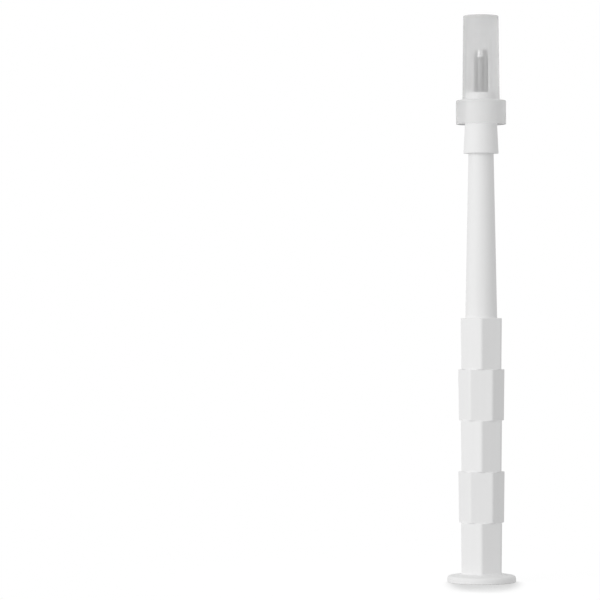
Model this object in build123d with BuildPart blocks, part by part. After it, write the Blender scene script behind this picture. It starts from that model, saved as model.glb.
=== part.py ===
"""Disposable biopsy punch: a white moulded handle, a tubular steel blade bonded into its hub and a push-on
protective cap.

Millimetres, +Z up. The origin is the middle of the thumb flange's flat face, on which the punch stands.
"""

import os
from math import cos, radians, tan

from build123d import *

# Hexagonal grip: segments in a row, each turned half a face from the next
segment_count = 5
grip_faces = 6
segment_length = 12.3
grip_flats = 9.85  # across flats at a segment's upper end
grip_draft = 0.6  # degrees by which a segment narrows towards the thumb flange
grip_edge_radius = 0.6  # along the long edges
segment_end_chamfer = 0.2  # where a long edge meets a segment's end

# Thumb flange: a thin disc whose upper side rises to the grip
flange_overhang = 2.6  # beyond the grip's corners
rim_thickness = 1.5
rim_radius = 0.7  # upper edge
rim_chamfer = 0.4  # lower edge
flange_slope = 9.3  # degrees
grip_root_chamfer = 0.4  # between the flange and the grip

# Round rod between grip and hub
rod_length = 39.7
grip_shoulder = 1.1  # ledge between the grip's flats and the foot of the rod
rod_foot_chamfer = 0.25
rod_neck_diameter = 6.05

# Conical hub that carries the blade and the cap
hub_length = 14.6
hub_step = 1.2  # ledge between the rod's neck and the hub
hub_taper = 2.9  # degrees each side
hub_chamfer = 0.15

# Blade: a tube with an outer bevel
cutting_diameter = 3.0
blade_wall = 0.2
blade_reach = 10.25  # beyond the hub's nose
blade_seat_depth = 8.0
bevel_length = 1.7
edge_thickness = 0.02
bond_gap = 0.03  # between blade and socket

# Protective cap: a closed tube over the blade with a collar round the hub
cap_overlap = 7.6  # from the hub's nose down to the cap's mouth
cap_tip_room = 7.35  # above the cutting edge
cap_wall = 0.85
cap_top_wall = 1.0
cap_draft = 0.7  # degrees, inside and outside of the tube
cap_fit = 0.04  # between the cap's seat and the hub
collar_height = 5.8
collar_gap = 1.3  # between the collar's inside and the hub at the mouth
collar_wall = 0.85
shoulder_wall = 0.7
mouth_lead_height = 1.1
mouth_lead_depth = 0.4
cap_top_chamfer = 0.3
collar_chamfer = 0.3
tube_root_chamfer = 0.4

# Radii that follow from the sizes above
half_face_turn = 180 / grip_faces
flat_radius = grip_flats / 2
corner_radius = flat_radius / cos(radians(half_face_turn))
flange_radius = corner_radius + flange_overhang
root_reach = corner_radius + flange_overhang / 2
rod_foot = flat_radius - grip_shoulder
rod_neck = rod_neck_diameter / 2
hub_foot = rod_neck + hub_step
cutting_radius = cutting_diameter / 2
blade_radius = cutting_radius + blade_wall


def flange_top(radius):
    """Height of the flange's sloping upper side at a radius."""
    return rim_thickness + (flange_radius - radius) * tan(radians(flange_slope))


# Heights along the axis
grip_foot = flange_top(flat_radius)
grip_top = grip_foot + segment_count * segment_length
hub_base = grip_top + rod_length
hub_nose = hub_base + hub_length
blade_foot = hub_nose - blade_seat_depth
blade_tip = hub_nose + blade_reach
cap_mouth = hub_nose - cap_overlap
cap_shoulder = cap_mouth + collar_height
cap_seat = cap_shoulder - shoulder_wall
cap_ceiling = blade_tip + cap_tip_room
cap_top = cap_ceiling + cap_top_wall


def hub_radius(height):
    """Outside radius of the hub's cone at a height on the axis."""
    return hub_foot - (height - hub_base) * tan(radians(hub_taper))


def corner_at(section, radius, height):
    """The corner of a half section that lies at a radius and height."""
    return section.vertices().sort_by_distance((radius, height))[0]


def grip_segment(bottom, top, turn):
    """A drafted hexagonal prism between two heights, with its long edges rounded and their ends cut back."""
    lower_flat = flat_radius - (top - bottom) * tan(radians(grip_draft))
    lower_radius = corner_radius * lower_flat / flat_radius
    with BuildPart() as segment:
        with BuildSketch(Plane.XY.offset(top)):
            RegularPolygon(flat_radius, grip_faces, major_radius=False, rotation=turn)
        extrude(amount=bottom - top, taper=grip_draft)
        fillet(segment.edges().group_by(Axis.Z)[1], grip_edge_radius)
        with BuildSketch(Plane.XZ) as barrel:
            with BuildLine():
                Polyline((0, bottom), (lower_radius, bottom), (corner_radius, top), (0, top), close=True)
            make_face()
            chamfer(corner_at(barrel, lower_radius, bottom), segment_end_chamfer)
            chamfer(corner_at(barrel, corner_radius, top), segment_end_chamfer)
        revolve(axis=Axis.Z, mode=Mode.INTERSECT)
    return segment.part


# Grip segments from the flange up, with a corner or a flat forward by turns. The lowest passes
# through the flange.
seams = [0] + [grip_foot + count * segment_length for count in range(1, segment_count + 1)]
turns = [half_face_turn * ((count + 1) % 2) for count in range(segment_count)]
segments = [grip_segment(*ends) for ends in zip(seams, seams[1:], turns)]

# Handle
with BuildPart() as handle:
    with BuildSketch(Plane.XZ) as flange_section:
        with BuildLine():
            Polyline(
                (0, 0),
                (flange_radius, 0),
                (flange_radius, rim_thickness),
                (0, flange_top(0)),
                close=True,
            )
        make_face()
        chamfer(corner_at(flange_section, flange_radius, 0), rim_chamfer)
        fillet(corner_at(flange_section, flange_radius, rim_thickness), rim_radius)
    revolve(axis=Axis.Z)
    add(segments)
    with BuildSketch(Plane.XZ) as hub_section:
        with BuildLine():
            Polyline(
                (0, grip_top),
                (rod_foot, grip_top),
                (rod_neck, hub_base),
                (hub_foot, hub_base),
                (hub_radius(hub_nose), hub_nose),
                (0, hub_nose),
                close=True,
            )
        make_face()
        chamfer(corner_at(hub_section, hub_foot, hub_base), hub_chamfer)
        chamfer(corner_at(hub_section, hub_radius(hub_nose), hub_nose), hub_chamfer)
    revolve(axis=Axis.Z)
    flange_edges = handle.edges().filter_by_position(Axis.Z, flange_top(root_reach), flange_top(rod_foot))
    chamfer(flange_edges.filter_by(GeomType.LINE, reverse=True), grip_root_chamfer)
    ledge_edges = handle.edges().filter_by_position(Axis.Z, grip_top, grip_top)
    chamfer(ledge_edges.filter_by(GeomType.CIRCLE).sort_by(SortBy.LENGTH)[-1], rod_foot_chamfer)
    with Locations((0, 0, hub_nose)):
        Hole(blade_radius + bond_gap, depth=blade_seat_depth)
handle.part.label = "handle"

# Blade
with BuildPart() as blade:
    with BuildSketch(Plane.XZ):
        with BuildLine():
            Polyline(
                (cutting_radius, blade_foot),
                (blade_radius, blade_foot),
                (blade_radius, blade_tip - bevel_length),
                (cutting_radius + edge_thickness, blade_tip),
                (cutting_radius, blade_tip),
                close=True,
            )
        make_face()
    revolve(axis=Axis.Z)
blade.part.label = "blade"

# Protective cap
seat_radius = hub_radius(cap_seat) + cap_fit
ceiling_radius = seat_radius - (cap_ceiling - cap_seat) * tan(radians(cap_draft))
tube_root = seat_radius + cap_wall
tube_top = tube_root - (cap_top - cap_shoulder) * tan(radians(cap_draft))
collar_inside = hub_radius(cap_mouth) + collar_gap
collar_outside = collar_inside + collar_wall

with BuildPart() as protective_cap:
    with BuildSketch(Plane.XZ) as cap_section:
        with BuildLine():
            Polyline(
                (0, cap_ceiling),
                (ceiling_radius, cap_ceiling),
                (seat_radius, cap_seat),
                (collar_inside, cap_seat),
                (collar_inside, cap_mouth + mouth_lead_height),
                (collar_inside + mouth_lead_depth, cap_mouth),
                (collar_outside, cap_mouth),
                (collar_outside, cap_shoulder),
                (tube_root, cap_shoulder),
                (tube_top, cap_top),
                (0, cap_top),
                close=True,
            )
        make_face()
        chamfer(corner_at(cap_section, collar_outside, cap_shoulder), collar_chamfer)
        chamfer(corner_at(cap_section, tube_root, cap_shoulder), tube_root_chamfer)
        chamfer(corner_at(cap_section, tube_top, cap_top), cap_top_chamfer)
    revolve(axis=Axis.Z)
protective_cap.part.label = "protective_cap"

os.makedirs("parts", exist_ok=True)
export_step(handle.part, "parts/handle.step")
export_step(blade.part, "parts/blade.step")
export_step(protective_cap.part, "parts/protective_cap.step")
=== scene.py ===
"""Disposable biopsy punch, standing on its thumb flange on a white studio floor.

Shapes are worked out in millimetres, in the frame's own axes, and put into Blender in metres.
"""

import math

import bpy
import numpy as np
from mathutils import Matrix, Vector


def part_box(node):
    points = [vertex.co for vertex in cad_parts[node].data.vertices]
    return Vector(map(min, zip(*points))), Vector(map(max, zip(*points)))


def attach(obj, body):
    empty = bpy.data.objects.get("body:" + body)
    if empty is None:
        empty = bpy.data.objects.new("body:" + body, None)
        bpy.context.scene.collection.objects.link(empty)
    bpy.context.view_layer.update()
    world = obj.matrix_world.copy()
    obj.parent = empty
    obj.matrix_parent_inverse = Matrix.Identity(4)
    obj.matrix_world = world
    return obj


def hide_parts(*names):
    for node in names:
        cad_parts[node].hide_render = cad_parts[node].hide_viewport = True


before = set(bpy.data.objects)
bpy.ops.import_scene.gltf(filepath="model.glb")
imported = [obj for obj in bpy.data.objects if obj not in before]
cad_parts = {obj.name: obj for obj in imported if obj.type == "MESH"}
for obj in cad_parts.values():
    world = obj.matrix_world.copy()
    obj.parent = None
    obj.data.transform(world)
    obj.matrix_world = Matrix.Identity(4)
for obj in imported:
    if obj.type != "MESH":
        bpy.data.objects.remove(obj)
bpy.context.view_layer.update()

MM = 0.001
TINY = 1e-9  # stands in for a length of nothing where one is divided by
handle_box, blade_box, cap_box = (
    [np.array(corner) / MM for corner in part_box(node)] for node in ("handle", "blade", "protective_cap")
)

# Hexagonal grip
SEGMENT_COUNT = 5
SEGMENT_LENGTH = 12.3
GRIP_FLAT = 9.85 / 2  # from the axis to a face, at a segment's upper end
GRIP_DRAFT = math.radians(0.6)
GRIP_EDGE_RADIUS = 0.85
EDGE_END_TOP = 0.08  # how far a long edge is rounded back at a segment's upper end
EDGE_END_FOOT = 0.16  # and at its lower end
HALF_FACE = math.pi / 6

# Thumb flange
FLANGE_RADIUS = handle_box[1][0]
RIM_THICKNESS = 1.5
FLANGE_SLOPE = math.radians(9.3)

# Rod and hub
ROD_LENGTH = 39.7
GRIP_SHOULDER = 1.1  # ledge between the grip's faces and the foot of the rod
ROD_FOOT_RADIUS = GRIP_FLAT - GRIP_SHOULDER
ROD_NECK_RADIUS = 6.05 / 2
HUB_LENGTH = 14.6
HUB_STEP = 1.2  # ledge between the rod's neck and the hub
HUB_FOOT_RADIUS = ROD_NECK_RADIUS + HUB_STEP
HUB_TAPER = math.radians(2.9)
HUB_NOSE = handle_box[1][2]
HUB_BASE = HUB_NOSE - HUB_LENGTH
GRIP_TOP = HUB_BASE - ROD_LENGTH

# Blade
BLADE_FOOT, BLADE_TIP = blade_box[0][2], blade_box[1][2]
BLADE_RADIUS = blade_box[1][0]
BLADE_WALL = 0.2
BEVEL_LENGTH = 1.7
EDGE_THICKNESS = 0.02
BOND_GAP = 0.03

# Protective cap
CAP_MOUTH, CAP_TOP = cap_box[0][2], cap_box[1][2]
COLLAR_RADIUS = cap_box[1][0]
COLLAR_WALL = 0.85
COLLAR_HEIGHT = 5.8
SHOULDER_WALL = 0.7
MOUTH_LEAD_HEIGHT = 1.1
MOUTH_LEAD_DEPTH = 0.4
CAP_WALL = 0.85
CAP_TOP_WALL = 1.0
CAP_DRAFT = math.radians(0.7)
CAP_FIT = 0.04
CAP_SHOULDER = CAP_MOUTH + COLLAR_HEIGHT
CAP_SEAT = CAP_SHOULDER - SHOULDER_WALL
CAP_CEILING = CAP_TOP - CAP_TOP_WALL

# Small moulded radii, given as the length that each takes from the faces beside it
SHARP_EDGE = 0.03
FINE_EDGE = 0.07
SOFT_EDGE = 0.3
RIM_EDGE = 0.6
RIM_FOOT_EDGE = 0.25

# Points of the skins
GRIP_COLUMNS = 264
GRIP_GATHER = 0.8  # how much the columns crowd at the grip's edges
ROUND_COLUMNS = 192
ARC_ROWS = 9
HOLD = 0.15  # from an arc to the row that keeps the face beside it flat
HOLD_SHARE = 0.3  # of a side that is too short for it
TRIM_SHARE = 0.9  # of a side that is too short for the arcs at both its ends

# Attribute that tells the cap's outside from its inside
OUTER_SKIN = "outer_skin"

# Floor: greys, and the reach from the punch over which it turns to plain white
FLOOR_HALF_SIZE = 4000.0
FLOOR_GREY = 0.8  # for light that falls on it
FLOOR_GREY_SEEN = 0.1  # for the camera, which also sees the lift
FLOOR_LIFT = 0.93
WHITE_START, WHITE_END = 40.0, 110.0

# Shadow on the floor: where the way low behind is closed, inside an oval round the flange
LOW_BEHIND = {"X": -0.09, "Y": 0.86, "Z": -0.5}
SHADOW_REACH = 26.0
SHADOW_SAMPLES = 32
SHADOW_CLOSED, SHADOW_OPEN = 0.89, 0.98  # open share at which the shadow is full, and at which it ends
SHADOW_HALF_WIDTH = 10.6
SHADOW_HALF_LENGTH = 42.0
SHADOW_SHIFT = 0.5  # to the right
SHADOW_CORE = 0.59  # share of the oval that doesn't fade
SHADOW_DEPTH = 0.34

# Light
FILL = 0.645
KEY_SIZE = 1080.0
KEY_POWER = 11.6  # watts
KEY_DISTANCE = 1800.0
KEY_AZIMUTH = math.radians(-45)
KEY_ELEVATION = math.radians(15)

# Picture
IMAGE_SIZE = 600
PIXELS_PER_MM = 4.15
AXIS_PIXEL = 481.55
EYE_HEIGHT = 68.0
EYE_DISTANCE = 771.0
PICTURE_LEAN = math.radians(0.08)
SENSOR = 36.0


def hub_radius(height):
    """Radius of the hub's cone: its foot less the taper's tangent times the height above the foot."""
    return HUB_FOOT_RADIUS - (height - HUB_BASE) * math.tan(HUB_TAPER)


def flange_top(radius):
    """Height of the flange's upper side: the rim's thickness plus the slope's tangent times the way in."""
    return RIM_THICKNESS + (FLANGE_RADIUS - radius) * math.tan(FLANGE_SLOPE)


def turn_angles(count, gather=0.0):
    """Angles round the axis, more of them near every half face, where the grip's edges are.

    The turn within a half face is u - gather * sin(2 pi u) / (2 pi), u running evenly from 0 to 1.
    """
    halves = round(math.tau / HALF_FACE)
    position = np.arange(count) * halves / count
    within = position % 1
    moved = within - gather * np.sin(math.tau * within) / math.tau
    return (position - within + moved) * HALF_FACE


def hexagon_radius(turn, flat, corner_turn):
    """Radius of a hexagon with rounded edges.

    Along a face it is flat / cos(a), a being the turn from the face's middle. Past the face's end it is
    the far crossing with the edge's circle, whose centre lies (flat - edge radius) / cos(half face) from
    the axis.
    """
    off_middle = np.abs((turn - corner_turn) % (2 * HALF_FACE) - HALF_FACE)
    off_corner = HALF_FACE - off_middle
    centre = (flat - GRIP_EDGE_RADIUS) / math.cos(HALF_FACE)
    across = np.minimum(centre * np.sin(off_corner), GRIP_EDGE_RADIUS)
    on_edge = centre * np.cos(off_corner) + np.sqrt(GRIP_EDGE_RADIUS**2 - across**2)
    past_face = flat * np.tan(off_middle) > (flat - GRIP_EDGE_RADIUS) * math.tan(HALF_FACE)
    return np.where(past_face, on_edge, flat / np.cos(off_middle))


def rounded_section(corners, turn):
    """Half section at every turn angle, as rows of (radius, height), with its corners rounded.

    A corner (radius, height, trim) becomes the arc that leaves its two sides `trim` away from it: the
    rational curve (A(1-t)^2 + 2wt(1-t)C + Bt^2) / ((1-t)^2 + 2wt(1-t) + t^2), whose weight w is the sine
    of half the angle between the sides. Where a side is too short for two trims, both shrink. A row on each
    side of an arc keeps the long faces flat.
    """
    table = np.stack([np.stack(np.broadcast_arrays(*corner, turn)[:3]) for corner in corners])
    point, trim = table[:, :2], table[:, 2]
    side = np.diff(point, axis=0)
    length = np.linalg.norm(side, axis=1)
    way = side / np.maximum(length, TINY)[:, None]
    share = np.minimum(1, TRIM_SHARE * length / np.maximum(trim[:-1] + trim[1:], TINY))
    trim[1:-1] *= np.minimum(share[:-1], share[1:])
    start, end = point.copy(), point.copy()
    start[1:] -= way * trim[1:, None]
    end[:-1] += way * trim[:-1, None]
    weight = np.sqrt(np.clip(0.5 + 0.5 * (way[:-1] * way[1:]).sum(1), 0, 1))
    rows = [point[0]]
    t = np.linspace(0, 1, ARC_ROWS)[:, None, None]
    for i in range(1, len(point)):
        gap = start[i] - end[i - 1]
        run = np.maximum(np.linalg.norm(gap, axis=0), TINY)
        part = np.minimum(HOLD / run, HOLD_SHARE)
        rows += [end[i - 1] + gap * part, start[i] - gap * part]
        if i < len(point) - 1:
            blend = 2 * weight[i - 1] * t * (1 - t)
            arc = start[i] * (1 - t) ** 2 + point[i] * blend + end[i] * t**2
            rows += list(arc / ((1 - t) ** 2 + blend + t**2))
    return np.stack(rows + [point[-1]])


def new_piece(name, place, faces):
    """Object with a smooth mesh from points in millimetres and faces."""
    mesh = bpy.data.meshes.new(name)
    mesh.from_pydata((place * MM).tolist(), [], faces)
    mesh.polygons.foreach_set("use_smooth", np.ones(len(mesh.polygons), bool))
    mesh.update()
    piece = bpy.data.objects.new(name, mesh)
    bpy.context.scene.collection.objects.link(piece)
    return piece


def carried_round(turn, rows):
    """Points of a half section carried round the axis: (radius cos turn, radius sin turn, height)."""
    radius, height = rows[:, 0], rows[:, 1]
    return np.stack([radius * np.cos(turn), radius * np.sin(turn), height], axis=-1)


def turned_piece(name, turn, rows):
    """Closed skin of a half section whose first and last rows are points on the axis."""
    ring = carried_round(turn, rows)
    place = np.concatenate([ring[0, :1], ring[1:-1].reshape(-1, 3), ring[-1, :1]])
    ring_count, columns = len(rows) - 2, len(turn)
    index = 1 + np.arange(ring_count * columns).reshape(ring_count, columns)
    beside = np.roll(index, -1, axis=1)
    quads = np.stack([index[:-1], beside[:-1], beside[1:], index[1:]], axis=-1).reshape(-1, 4)
    first = np.stack([np.zeros(columns, int), beside[0], index[0]], axis=-1)
    last = np.stack([index[-1], beside[-1], np.full(columns, len(place) - 1)], axis=-1)
    return new_piece(name, place, quads.tolist() + first.tolist() + last.tolist())


def tube_piece(name, turn, rows):
    """Closed skin of a section that doesn't meet the axis: the last row joins the first."""
    index = np.arange(len(rows) * len(turn)).reshape(len(rows), len(turn))
    beside, above = np.roll(index, -1, axis=1), np.roll(index, -1, axis=0)
    quads = np.stack([index, beside, np.roll(beside, -1, axis=0), above], axis=-1).reshape(-1, 4)
    return new_piece(name, carried_round(turn, rows).reshape(-1, 3), quads.tolist())


def handle_section(turn):
    """Half section of the handle at every turn angle: flange, grip, rod, hub and the blade's socket.

    Each segment's faces lean by the draft, and every second one is turned half a face. Where a corner of
    the hexagon stands out at a segment's end, its rounding grows with what stands out.
    """
    lower_flat = GRIP_FLAT - SEGMENT_LENGTH * math.tan(GRIP_DRAFT)
    corner_turns = [HALF_FACE * ((count + 1) % 2) for count in range(SEGMENT_COUNT)]
    lower = np.stack([hexagon_radius(turn, lower_flat, corner) for corner in corner_turns])
    upper = np.stack([hexagon_radius(turn, GRIP_FLAT, corner) for corner in corner_turns])
    lower_cut = EDGE_END_FOOT * (lower - lower_flat) / (lower.max() - lower_flat)
    upper_cut = EDGE_END_TOP * (upper - GRIP_FLAT) / (upper.max() - GRIP_FLAT)
    corners = [
        (0, 0, 0),
        (FLANGE_RADIUS, 0, RIM_FOOT_EDGE),
        (FLANGE_RADIUS, RIM_THICKNESS, RIM_EDGE),
        (lower[0], flange_top(lower[0]), SOFT_EDGE),
    ]
    for count in range(SEGMENT_COUNT - 1):
        seam = GRIP_TOP - (SEGMENT_COUNT - 1 - count) * SEGMENT_LENGTH
        below_out = upper[count] > lower[count + 1]
        corners.append((upper[count], seam, FINE_EDGE + np.where(below_out, upper_cut[count], 0)))
        corners.append((lower[count + 1], seam, FINE_EDGE + np.where(below_out, 0, lower_cut[count + 1])))
    return rounded_section(corners + [
        (upper[-1], GRIP_TOP, FINE_EDGE + upper_cut[-1]),
        (ROD_FOOT_RADIUS, GRIP_TOP, SOFT_EDGE),
        (ROD_NECK_RADIUS, HUB_BASE, FINE_EDGE),
        (HUB_FOOT_RADIUS, HUB_BASE, FINE_EDGE),
        (hub_radius(HUB_NOSE), HUB_NOSE, FINE_EDGE),
        (BLADE_RADIUS + BOND_GAP, HUB_NOSE, FINE_EDGE / 2),
        (BLADE_RADIUS + BOND_GAP, BLADE_FOOT, FINE_EDGE / 2),
        (0, BLADE_FOOT, 0),
    ], turn)


def cap_section(turn):
    """Half section of the cap at every turn angle: ceiling, down inside, round the mouth and up outside."""
    seat = hub_radius(CAP_SEAT) + CAP_FIT
    ceiling = seat - (CAP_CEILING - CAP_SEAT) * math.tan(CAP_DRAFT)
    tube_root = seat + CAP_WALL
    tube_top = tube_root - (CAP_TOP - CAP_SHOULDER) * math.tan(CAP_DRAFT)
    collar_inside = COLLAR_RADIUS - COLLAR_WALL
    return rounded_section([
        (0, CAP_CEILING, 0),
        (ceiling, CAP_CEILING, SOFT_EDGE),
        (seat, CAP_SEAT, FINE_EDGE),
        (collar_inside, CAP_SEAT, SOFT_EDGE),
        (collar_inside, CAP_MOUTH + MOUTH_LEAD_HEIGHT, FINE_EDGE),
        (collar_inside + MOUTH_LEAD_DEPTH, CAP_MOUTH, FINE_EDGE),
        (COLLAR_RADIUS, CAP_MOUTH, FINE_EDGE),
        (COLLAR_RADIUS, CAP_SHOULDER, SOFT_EDGE),
        (tube_root, CAP_SHOULDER, SOFT_EDGE),
        (tube_top, CAP_TOP, SOFT_EDGE),
        (0, CAP_TOP, 0),
    ], turn)


def blade_section(turn):
    """Section of the blade at every turn angle, from the middle of its bore down, round outside and back.

    The last row, which would repeat the first, is left out.
    """
    cutting_radius = BLADE_RADIUS - BLADE_WALL
    bore_middle = (BLADE_FOOT + BLADE_TIP) / 2
    return rounded_section([
        (cutting_radius, bore_middle, 0),
        (cutting_radius, BLADE_FOOT, SHARP_EDGE),
        (BLADE_RADIUS, BLADE_FOOT, SHARP_EDGE),
        (BLADE_RADIUS, BLADE_TIP - BEVEL_LENGTH, SHARP_EDGE),
        (cutting_radius + EDGE_THICKNESS, BLADE_TIP, EDGE_THICKNESS / 2),
        (cutting_radius, BLADE_TIP, EDGE_THICKNESS / 2),
        (cutting_radius, bore_middle, 0),
    ], turn)[:-1]


class Value:
    """One output of a shader graph. Arithmetic on it adds Math nodes."""

    def __init__(self, graph, socket):
        self.graph = graph
        self.socket = socket

    def math(self, operation, first, second):
        """Result of a Math node on two values or numbers."""
        return self.graph.node("ShaderNodeMath", {"operation": operation}, {0: first, 1: second})

    def __add__(self, other):
        return self.math("ADD", self, other)

    def __sub__(self, other):
        return self.math("SUBTRACT", self, other)

    def __rsub__(self, other):
        return self.math("SUBTRACT", other, self)

    def __mul__(self, other):
        return self.math("MULTIPLY", self, other)

    def __truediv__(self, other):
        return self.math("DIVIDE", self, other)

    def __rtruediv__(self, other):
        return self.math("DIVIDE", other, self)

    __radd__ = __add__
    __rmul__ = __mul__


class Graph:
    """The node tree of a material or of the world."""

    def __init__(self, owner):
        owner.use_nodes = True
        self.tree = owner.node_tree
        self.tree.nodes.clear()

    def node(self, kind, settings, inputs, output=0):
        """Adds a node, sets it up, fills or links its inputs and gives one of its outputs."""
        added = self.tree.nodes.new(kind)
        for name, setting in settings.items():
            setattr(added, name, setting)
        for name, value in inputs.items():
            if isinstance(value, Value):
                self.tree.links.new(value.socket, added.inputs[name])
            else:
                added.inputs[name].default_value = value
        return Value(self, added.outputs[output]) if added.outputs else None

    def stretched_noise(self, size, detail=2.0):
        """Noise on Object coordinates whose blotches measure `size` millimetres along X, Y and Z."""
        place = self.node("ShaderNodeTexCoord", {}, {}, "Object")
        scale = [1 / (length * MM) for length in size]
        moved = self.node("ShaderNodeMapping", {}, {"Vector": place, "Scale": scale})
        return self.node("ShaderNodeTexNoise", {}, {"Vector": moved, "Scale": 1.0, "Detail": detail})

    def height(self):
        """Height above the floor, in millimetres."""
        place = self.node("ShaderNodeTexCoord", {}, {}, "Object")
        return self.node("ShaderNodeSeparateXYZ", {}, {"Vector": place}, "Z") / MM

    def turn(self):
        """Turn round the axis in radians, 0 at the front and growing towards +X."""
        place = self.node("ShaderNodeTexCoord", {}, {}, "Object")
        right = self.node("ShaderNodeSeparateXYZ", {}, {"Vector": place}, "X")
        back = self.node("ShaderNodeSeparateXYZ", {}, {"Vector": place}, "Y")
        return self.node("ShaderNodeMath", {"operation": "ARCTAN2"}, {0: right, 1: 0 - back})

    def wave(self, turn, count, first):
        """Even wave round the axis, 0 at `count` places, one of them at a turn of `first` degrees."""
        phase = (turn - math.radians(first)) * count
        return 0.5 - 0.5 * self.node("ShaderNodeMath", {"operation": "COSINE"}, {0: phase})

    def relief(self, height, strength, depth):
        """Normal that follows a height pattern, `depth` millimetres deep at full strength."""
        inputs = {"Height": height, "Strength": strength, "Distance": depth * MM}
        return self.node("ShaderNodeBump", {}, inputs)

    def step(self, value, low, high):
        """Smooth step from 0 at low to 1 at high."""
        ends = {"Value": value, "From Min": low, "From Max": high}
        return self.node("ShaderNodeMapRange", {"interpolation_type": "SMOOTHSTEP"}, ends)

    def mix(self, factor, first, second):
        """Grey between two greys. A Mix node's colour inputs are 6 and 7, and its colour output is 2."""
        ends = {0: factor, 6: (first, first, first, 1), 7: (second, second, second, 1)}
        return self.node("ShaderNodeMix", {"data_type": "RGBA"}, ends, 2)


def new_material(name):
    """An empty material and its graph."""
    material = bpy.data.materials.new(name)
    return material, Graph(material)


def give_surface(graph, inputs):
    """Ends a material's graph with one Principled surface."""
    surface = graph.node("ShaderNodeBsdfPrincipled", {}, inputs)
    graph.node("ShaderNodeOutputMaterial", {}, {"Surface": surface})


def white_plastic():
    """Satin white moulding: a fine grain, faint flow marks along the axis and soft patches of gloss."""
    patch_size, flow_size, grain_size = (6, 6, 9), (1.2, 1.2, 22), (0.12, 0.12, 0.12)
    dark_tone, light_tone = 0.845, 0.895
    least_rough, rough_range = 0.55, 0.14
    patch_tint, flow_and_shadow_tint = 0.4, 0.6
    grain_height, flow_height, patch_height = 0.5, 1.5, 2.0
    relief_strength, relief_depth = 0.5, 0.02
    material, graph = new_material("white_plastic")
    patches = graph.stretched_noise(patch_size)
    # Only flow marks in this moulding; in the milky cap the same names also carry painted shadow
    flow_marks_and_shadow = graph.stretched_noise(flow_size)
    grain = graph.stretched_noise(grain_size, detail=3.0)
    tone = patches * patch_tint + flow_marks_and_shadow * flow_and_shadow_tint
    heights = grain * grain_height + flow_marks_and_shadow * flow_height + patches * patch_height
    give_surface(graph, {
        "Base Color": graph.mix(tone, dark_tone, light_tone),
        "Roughness": least_rough + patches * rough_range,
        "Normal": graph.relief(heights, relief_strength, relief_depth),
    })
    return material


def blade_steel():
    """Drawn steel tube with dark lines along the axis and a bright ground bevel.

    The lines are partly die lines and partly painted reflections. Towards the hub's nose the tube is darker
    by painted shade, and three sectors of painted highlight brighten the bevel.
    """
    line_tone, tube_range, range_clear_of_nose_shade = 0.01, 0.29, 0.16
    bevel_tone, highlight_range, scratch_range = 0.25, 0.58, 0.1
    tube_rough, bevel_smoother = 0.65, 0.1
    relief_strength, relief_depth = 0.3, 0.01
    wide_edge, thin_edge, highlight_edge = (0.06, 0.6), (0.0, 0.1), (0.55, 0.8)
    plain_share, thin_share, fine_share = 0.3, 0.3, 0.4
    fine_part, finest_part = 0.6, 0.4
    scratch_size = (1.5, 1.5, 0.03)
    nose_shade_fade = 7.0
    material, graph = new_material("blade_steel")
    height, turn = graph.height(), graph.turn()
    bevel_start = BLADE_TIP - BEVEL_LENGTH
    bevel = graph.step(height, bevel_start - SHARP_EDGE, bevel_start + SHARP_EDGE)
    # Painted shade: the tube is darker towards the hub's nose
    clear_of_nose_shade = graph.step(height, HUB_NOSE, HUB_NOSE + nose_shade_fade)
    # Lines at fixed turns round the tube: partly die lines and partly painted reflections, among them a
    # thin painted dark reflection at the front
    wide_lines = graph.step(graph.wave(turn, count=7, first=17), *wide_edge)
    thin_lines = graph.step(graph.wave(turn, count=5, first=-4), *thin_edge)
    fine_lines = graph.wave(turn, count=19, first=4) * fine_part
    fine_lines += graph.wave(turn, count=31, first=9) * finest_part
    die_lines_and_reflections = wide_lines * (plain_share + thin_share * thin_lines + fine_share * fine_lines)
    # Painted highlight: three bright sectors round the bevel, one facing the front
    bevel_highlights = graph.step(graph.wave(turn, count=3, first=55), *highlight_edge)
    scratches = graph.stretched_noise(scratch_size, detail=3.0)
    on_tube = line_tone + die_lines_and_reflections * (tube_range + range_clear_of_nose_shade * clear_of_nose_shade)
    on_bevel = bevel_tone + bevel_highlights * highlight_range + scratches * scratch_range
    heights = die_lines_and_reflections * (1 - bevel) + scratches * bevel
    give_surface(graph, {
        "Base Color": graph.mix(on_tube * (1 - bevel) + on_bevel * bevel, 0.0, 1.0),
        "Metallic": 1.0,
        "Roughness": tube_rough - bevel * bevel_smoother,
        "Normal": graph.relief(heights, relief_strength, relief_depth),
    })
    return material


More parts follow.
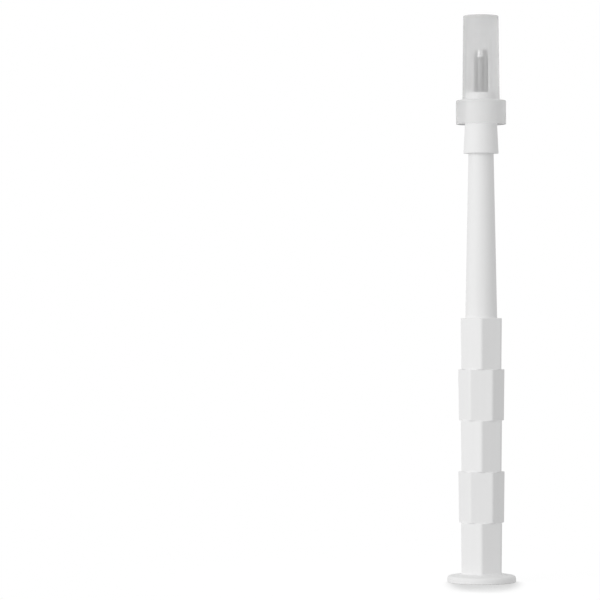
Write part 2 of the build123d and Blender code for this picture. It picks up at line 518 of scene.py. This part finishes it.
def milky_plastic():
    """Milky moulding whose outer skin holds the haze, with faint clouds and four painted shadow lines.

    The outer skin's attribute is 1 on the outside and 0 inside, where the skin is almost clear. The haze is
    thicker in the collar, where painted light also makes the base lighter. The shadow lines run along the
    axis beside the blade, as painted shade that the blade throws on the cap.
    """
    cloud_size, grain_size = (4, 4, 7), (0.15, 0.15, 0.4)
    dark_tone, light_tone = 0.5, 0.57
    least_rough, rough_range = 0.52, 0.12
    inner_haze, outer_haze, collar_haze, cloud_haze = 0.03, 0.54, 0.2, 0.06
    relief_strength, relief_depth = 0.5, 0.02
    middle_tint, cloud_tint, flow_and_shadow_tint, collar_painted_light = 0.2, 0.6, -0.6, 0.1
    grain_height, cloud_height = 0.5, 2.0
    scatter_length = 14.0
    hub_fade, tip_fade_below, tip_fade_above = 1.0, 1.0, 4.0
    line_edge = (0.0, 0.08)
    material, graph = new_material("milky_plastic")
    height = graph.height()
    above_hub = graph.step(height, HUB_NOSE - hub_fade, HUB_NOSE + hub_fade)
    above_blade = graph.step(height, BLADE_TIP - tip_fade_below, BLADE_TIP + tip_fade_above)
    in_collar = 1 - graph.step(height, CAP_SHOULDER - SOFT_EDGE, CAP_SHOULDER + SOFT_EDGE)
    outside = graph.node("ShaderNodeAttribute", {"attribute_name": OUTER_SKIN}, {}, "Fac")
    cloud = graph.stretched_noise(cloud_size)
    grain = graph.stretched_noise(grain_size, detail=3.0)
    # Painted shadow: four dark lines beside the blade, for the shade it throws on the cap
    lines = 1 - graph.step(graph.wave(graph.turn(), count=4, first=33), *line_edge)
    flow_marks_and_shadow = lines * (above_hub - above_blade)
    # Painted light: the base is lighter in the collar
    tone = middle_tint + cloud * cloud_tint + flow_marks_and_shadow * flow_and_shadow_tint + in_collar * collar_painted_light
    heights = grain * grain_height + cloud * cloud_height
    give_surface(graph, {
        "Base Color": graph.mix(tone, dark_tone, light_tone),
        "Roughness": least_rough + cloud * rough_range,
        "Alpha": inner_haze + outside * (outer_haze + in_collar * collar_haze + cloud * cloud_haze),
        "Normal": graph.relief(heights, relief_strength, relief_depth),
        "Subsurface Weight": 1.0,
        "Subsurface Radius": (1, 1, 1),
        "Subsurface Scale": scatter_length * MM,
    })
    return material


def seen_directly(graph):
    """1 for camera, glossy and transmission rays, 0 for the rest."""
    kinds = ("Is Camera Ray", "Is Glossy Ray", "Is Transmission Ray")
    camera, glossy, through = (graph.node("ShaderNodeLightPath", {}, {}, kind) for kind in kinds)
    return graph.node("ShaderNodeClamp", {}, {"Value": camera + glossy + through})


def studio_floor():
    """Pale floor that keeps the punch's shadow near its foot and is plain white further off.

    The shadow lies in front of the flange: from there the punch closes the way low behind.
    """
    far = FLOOR_HALF_SIZE * MM
    mesh = bpy.data.meshes.new("studio_floor")
    mesh.from_pydata([(-far, -far, 0), (far, -far, 0), (far, far, 0), (-far, far, 0)], [], [(0, 1, 2, 3)])
    floor = bpy.data.objects.new("studio_floor", mesh)
    bpy.context.scene.collection.objects.link(floor)
    material, graph = new_material("floor_white")
    place = graph.node("ShaderNodeTexCoord", {}, {}, "Object")
    reach = graph.node("ShaderNodeVectorMath", {"operation": "LENGTH"}, {0: place}, "Value") / MM
    seen = seen_directly(graph)
    way_open = graph.node("ShaderNodeAmbientOcclusion", {"samples": SHADOW_SAMPLES}, {
        "Distance": SHADOW_REACH * MM,
        "Normal": graph.node("ShaderNodeCombineXYZ", {}, LOW_BEHIND),
    }, "AO")
    oval = graph.node("ShaderNodeMapping", {}, {
        "Vector": place,
        "Location": (-SHADOW_SHIFT / SHADOW_HALF_WIDTH, 0, 0),
        "Scale": (1 / (SHADOW_HALF_WIDTH * MM), 1 / (SHADOW_HALF_LENGTH * MM), 1),
    })
    spread = graph.node("ShaderNodeVectorMath", {"operation": "LENGTH"}, {0: oval}, "Value")
    closed = 1 - graph.step(way_open, SHADOW_CLOSED, SHADOW_OPEN)
    shadow = SHADOW_DEPTH * closed * (1 - graph.step(spread, SHADOW_CORE, 1))
    matte = graph.node("ShaderNodeBsdfDiffuse", {}, {"Color": graph.mix(seen, FLOOR_GREY, FLOOR_GREY_SEEN)})
    lift = graph.node("ShaderNodeEmission", {}, {"Color": graph.mix(seen * (1 - shadow), 0.0, FLOOR_LIFT)})
    near_floor = graph.node("ShaderNodeAddShader", {}, {0: matte, 1: lift})
    white_floor = graph.node("ShaderNodeEmission", {}, {"Color": (1, 1, 1, 1)})
    blend = graph.step(reach, WHITE_START, WHITE_END) * seen
    surface = graph.node("ShaderNodeMixShader", {}, {0: blend, 1: near_floor, 2: white_floor})
    graph.node("ShaderNodeOutputMaterial", {}, {"Surface": surface})
    mesh.materials.append(material)


def studio_light():
    """White surroundings, an even fill and one large soft lamp at the front left."""
    world = bpy.data.worlds.new("studio")
    bpy.context.scene.world = world
    graph = Graph(world)
    white = graph.node("ShaderNodeBackground", {}, {"Color": graph.mix(seen_directly(graph), FILL, 1.0)})
    graph.node("ShaderNodeOutputWorld", {}, {"Surface": white})
    lamp = bpy.data.lights.new("key_lamp", "AREA")
    lamp.size = KEY_SIZE * MM
    lamp.energy = KEY_POWER
    key = bpy.data.objects.new("key_lamp", lamp)
    off_axis = KEY_DISTANCE * math.cos(KEY_ELEVATION)
    rise = KEY_DISTANCE * math.sin(KEY_ELEVATION)
    key.location = (
        off_axis * math.sin(KEY_AZIMUTH) * MM,
        -off_axis * math.cos(KEY_AZIMUTH) * MM,
        (rise + EYE_HEIGHT) * MM,
    )
    key.rotation_euler = (math.pi / 2 - KEY_ELEVATION, 0, KEY_AZIMUTH)
    bpy.context.scene.collection.objects.link(key)


def picture_camera():
    """Level camera at half the punch's height, turned so that the punch stands right of the middle.

    It leans sideways by the picture's small lean.
    """
    lens = bpy.data.cameras.new("camera")
    lens.sensor_width = SENSOR
    off_centre = AXIS_PIXEL - IMAGE_SIZE / 2
    turn = math.atan(off_centre / PIXELS_PER_MM / EYE_DISTANCE)
    lens.lens = SENSOR * PIXELS_PER_MM * EYE_DISTANCE * math.cos(turn) / IMAGE_SIZE
    camera = bpy.data.objects.new("camera", lens)
    camera.location = (0, -EYE_DISTANCE * MM, EYE_HEIGHT * MM)
    camera.rotation_euler = (math.pi / 2, PICTURE_LEAN, turn)
    bpy.context.scene.collection.objects.link(camera)
    bpy.context.scene.camera = camera


def dress(piece, body, node, material):
    """Gives a piece its material, hangs it on the body it rides on and hides the node it stands in for."""
    piece.data.materials.append(material)
    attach(piece, body)
    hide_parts(node)


def mark_outer_skin(cap, turn, rows):
    """Attribute that is 1 outside and 0 inside: the section's rows past the lowest one lie outside."""
    outside = (np.arange(len(rows)) >= rows[:, 1, 0].argmin()).astype(np.float32)
    values = np.concatenate([outside[:1], np.repeat(outside[1:-1], len(turn)), outside[-1:]])
    cap.data.attributes.new(OUTER_SKIN, "FLOAT", "POINT").data.foreach_set("value", values)


grip_turn = turn_angles(GRIP_COLUMNS, GRIP_GATHER)
handle = turned_piece("punch_handle", grip_turn, handle_section(grip_turn))
dress(handle, "handle", "handle", white_plastic())

round_turn = turn_angles(ROUND_COLUMNS)
blade = tube_piece("cutting_tube", round_turn, blade_section(round_turn))
dress(blade, "handle", "blade", blade_steel())

cap_rows = cap_section(round_turn)
cap = turned_piece("milky_cap", round_turn, cap_rows)
mark_outer_skin(cap, round_turn, cap_rows)
dress(cap, "cap", "protective_cap", milky_plastic())
# Light inside the milky cap is soft and loses little, so the cap hides none of it from the hub and the
# blade, and neither it nor the blade throws a sharp shadow
for piece in (cap, blade):
    piece.visible_diffuse = False
    piece.visible_shadow = False

studio_floor()
studio_light()
picture_camera()
bpy.context.scene.view_settings.view_transform = "Standard"
